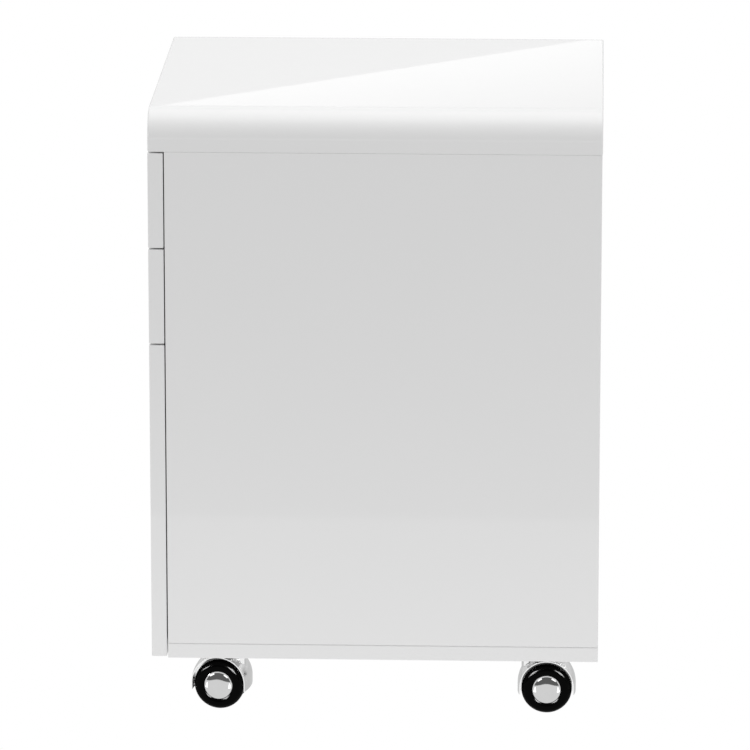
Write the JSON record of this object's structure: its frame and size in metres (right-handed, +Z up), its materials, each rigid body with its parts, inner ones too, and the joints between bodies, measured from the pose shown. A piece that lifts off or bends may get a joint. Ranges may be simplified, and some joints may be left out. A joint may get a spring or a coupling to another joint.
{
  "type": "rolling pedestal cabinet",
  "caption": "Under-desk rolling pedestal with two box drawers over a file drawer, a thick top with rolled long edges and hooded twin-wheel swivel casters.",
  "frame": {"origin": "on the floor, under the centre of the cabinet's bounding box", "axes": "+Z up; the drawer fronts face -Y and the drawers open towards -Y; the right-hand side panel, seen from the front, faces +X"},
  "size_m": [0.4, 0.44, 0.61],
  "materials": {
    "white_gloss_top": "high-gloss white lacquer",
    "white_board": "high-gloss white lacquer",
    "white_front": "high-gloss white lacquer",
    "drawer_board": "matt light grey melamine",
    "slide_steel": "zinc-plated steel",
    "screw_steel": "zinc-plated steel",
    "zinc_fittings": "die-cast zinc",
    "dowel_wood": "raw beech",
    "latch_plastic": "grey moulded plastic",
    "rail_aluminium": "satin anodised",
    "plate_steel": "bright plated",
    "hood_chrome": "satin chrome",
    "axle_steel": "bright steel",
    "hub_chrome": "polished chrome",
    "wheel_black": "polished black nylon"
  },
  "bodies": {
    "cabinet": {"top_panel": "white_gloss_top", "side_panel_left": "white_board", "side_panel_right": "white_board", "back_panel": "white_board", "bottom_panel": "white_board", "cam_locks": "zinc_fittings", "cam_bolts": "zinc_fittings", "panel_dowels": "dowel_wood", "slide_outer_members": "slide_steel", "fixing_screws": "screw_steel", "push_latch_housings": "latch_plastic", "caster_plates": "plate_steel"},
    "upper_drawer": {"upper_drawer_front": "white_front", "upper_drawer_side_left": "drawer_board", "upper_drawer_side_right": "drawer_board", "upper_drawer_back": "drawer_board", "upper_drawer_bottom": "drawer_board", "upper_drawer_slide_inner_members": "slide_steel", "upper_drawer_screws": "screw_steel"},
    "upper_drawer_slide_middle": {"upper_drawer_slide_middle_members": "slide_steel"},
    "upper_drawer_latch": {"upper_drawer_latch_plunger": "latch_plastic"},
    "middle_drawer": {"middle_drawer_front": "white_front", "middle_drawer_side_left": "drawer_board", "middle_drawer_side_right": "drawer_board", "middle_drawer_back": "drawer_board", "middle_drawer_bottom": "drawer_board", "middle_drawer_slide_inner_members": "slide_steel", "middle_drawer_screws": "screw_steel"},
    "middle_drawer_slide_middle": {"middle_drawer_slide_middle_members": "slide_steel"},
    "middle_drawer_latch": {"middle_drawer_latch_plunger": "latch_plastic"},
    "file_drawer": {"file_drawer_front": "white_front", "file_drawer_side_left": "drawer_board", "file_drawer_side_right": "drawer_board", "file_drawer_back": "drawer_board", "file_drawer_bottom": "drawer_board", "file_drawer_slide_inner_members": "slide_steel", "file_drawer_screws": "screw_steel", "file_drawer_hanging_rails": "rail_aluminium"},
    "file_drawer_slide_middle": {"file_drawer_slide_middle_members": "slide_steel"},
    "file_drawer_latch": {"file_drawer_latch_plunger": "latch_plastic"},
    "caster_front_left": {"caster_front_left_hood": "hood_chrome", "caster_front_left_axle": "axle_steel", "caster_front_left_hub_caps": "hub_chrome"},
    "caster_front_left_wheel_outer": {"caster_front_left_wheel_outer": "wheel_black"},
    "caster_front_left_wheel_inner": {"caster_front_left_wheel_inner": "wheel_black"},
    "caster_front_right": {"caster_front_right_hood": "hood_chrome", "caster_front_right_axle": "axle_steel", "caster_front_right_hub_caps": "hub_chrome"},
    "caster_front_right_wheel_outer": {"caster_front_right_wheel_outer": "wheel_black"},
    "caster_front_right_wheel_inner": {"caster_front_right_wheel_inner": "wheel_black"},
    "caster_rear_left": {"caster_rear_left_hood": "hood_chrome", "caster_rear_left_axle": "axle_steel", "caster_rear_left_hub_caps": "hub_chrome"},
    "caster_rear_left_wheel_outer": {"caster_rear_left_wheel_outer": "wheel_black"},
    "caster_rear_left_wheel_inner": {"caster_rear_left_wheel_inner": "wheel_black"},
    "caster_rear_right": {"caster_rear_right_hood": "hood_chrome", "caster_rear_right_axle": "axle_steel", "caster_rear_right_hub_caps": "hub_chrome"},
    "caster_rear_right_wheel_outer": {"caster_rear_right_wheel_outer": "wheel_black"},
    "caster_rear_right_wheel_inner": {"caster_rear_right_wheel_inner": "wheel_black"}
  },
  "joints": [
    {"name": "upper_drawer_slide", "type": "slide", "parent": "cabinet", "child": "upper_drawer", "axis": [0, -1, 0], "range_m": [0, 0.35]},
    {"name": "upper_drawer_slide_middle", "type": "slide", "parent": "cabinet", "child": "upper_drawer_slide_middle", "axis": [0, -1, 0], "range_m": [0, 0.175]},
    {"name": "upper_drawer_latch_press", "type": "slide", "parent": "cabinet", "child": "upper_drawer_latch", "axis": [0, 1, 0], "range_m": [0, 0.003], "stiffness_N_per_m": 400, "springref_m": -0.003},
    {"name": "middle_drawer_slide", "type": "slide", "parent": "cabinet", "child": "middle_drawer", "axis": [0, -1, 0], "range_m": [0, 0.35]},
    {"name": "middle_drawer_slide_middle", "type": "slide", "parent": "cabinet", "child": "middle_drawer_slide_middle", "axis": [0, -1, 0], "range_m": [0, 0.175]},
    {"name": "middle_drawer_latch_press", "type": "slide", "parent": "cabinet", "child": "middle_drawer_latch", "axis": [0, 1, 0], "range_m": [0, 0.003], "stiffness_N_per_m": 400, "springref_m": -0.003},
    {"name": "file_drawer_slide", "type": "slide", "parent": "cabinet", "child": "file_drawer", "axis": [0, -1, 0], "range_m": [0, 0.35]},
    {"name": "file_drawer_slide_middle", "type": "slide", "parent": "cabinet", "child": "file_drawer_slide_middle", "axis": [0, -1, 0], "range_m": [0, 0.175]},
    {"name": "file_drawer_latch_press", "type": "slide", "parent": "cabinet", "child": "file_drawer_latch", "axis": [0, 1, 0], "range_m": [0, 0.003], "stiffness_N_per_m": 400, "springref_m": -0.003},
    {"name": "caster_front_left_swivel", "type": "hinge", "parent": "cabinet", "child": "caster_front_left", "pos_m": [-0.161, -0.1356, 0.057], "axis": [0, 0, 1], "continuous": true},
    {"name": "caster_front_left_wheel_outer_spin", "type": "hinge", "parent": "caster_front_left", "child": "caster_front_left_wheel_outer", "pos_m": [-0.15834, -0.1534, 0.025], "axis": [0.989, 0.1478, 0], "continuous": true},
    {"name": "caster_front_left_wheel_inner_spin", "type": "hinge", "parent": "caster_front_left", "child": "caster_front_left_wheel_inner", "pos_m": [-0.15834, -0.1534, 0.025], "axis": [0.989, 0.1478, 0], "continuous": true},
    {"name": "caster_front_right_swivel", "type": "hinge", "parent": "cabinet", "child": "caster_front_right", "pos_m": [0.161, -0.1356, 0.057], "axis": [0, 0, 1], "continuous": true},
    {"name": "caster_front_right_wheel_outer_spin", "type": "hinge", "parent": "caster_front_right", "child": "caster_front_right_wheel_outer", "pos_m": [0.15834, -0.1534, 0.025], "axis": [0.989, -0.1478, 0], "continuous": true},
    {"name": "caster_front_right_wheel_inner_spin", "type": "hinge", "parent": "caster_front_right", "child": "caster_front_right_wheel_inner", "pos_m": [0.15834, -0.1534, 0.025], "axis": [0.989, -0.1478, 0], "continuous": true},
    {"name": "caster_rear_left_swivel", "type": "hinge", "parent": "cabinet", "child": "caster_rear_left", "pos_m": [-0.161, 0.1511, 0.057], "axis": [0, 0, 1], "continuous": true},
    {"name": "caster_rear_left_wheel_outer_spin", "type": "hinge", "parent": "caster_rear_left", "child": "caster_rear_left_wheel_outer", "pos_m": [-0.161, 0.1691, 0.025], "axis": [1, 0, 0], "continuous": true},
    {"name": "caster_rear_left_wheel_inner_spin", "type": "hinge", "parent": "caster_rear_left", "child": "caster_rear_left_wheel_inner", "pos_m": [-0.161, 0.1691, 0.025], "axis": [1, 0, 0], "continuous": true},
    {"name": "caster_rear_right_swivel", "type": "hinge", "parent": "cabinet", "child": "caster_rear_right", "pos_m": [0.161, 0.1511, 0.057], "axis": [0, 0, 1], "continuous": true},
    {"name": "caster_rear_right_wheel_outer_spin", "type": "hinge", "parent": "caster_rear_right", "child": "caster_rear_right_wheel_outer", "pos_m": [0.161, 0.1691, 0.025], "axis": [1, 0, 0], "continuous": true},
    {"name": "caster_rear_right_wheel_inner_spin", "type": "hinge", "parent": "caster_rear_right", "child": "caster_rear_right_wheel_inner", "pos_m": [0.161, 0.1691, 0.025], "axis": [1, 0, 0], "continuous": true}
  ],
  "couplings": [
    {"joint": "upper_drawer_slide_middle", "follows": "upper_drawer_slide", "ratio": 0.5},
    {"joint": "middle_drawer_slide_middle", "follows": "middle_drawer_slide", "ratio": 0.5},
    {"joint": "file_drawer_slide_middle", "follows": "file_drawer_slide", "ratio": 0.5}
  ]
}
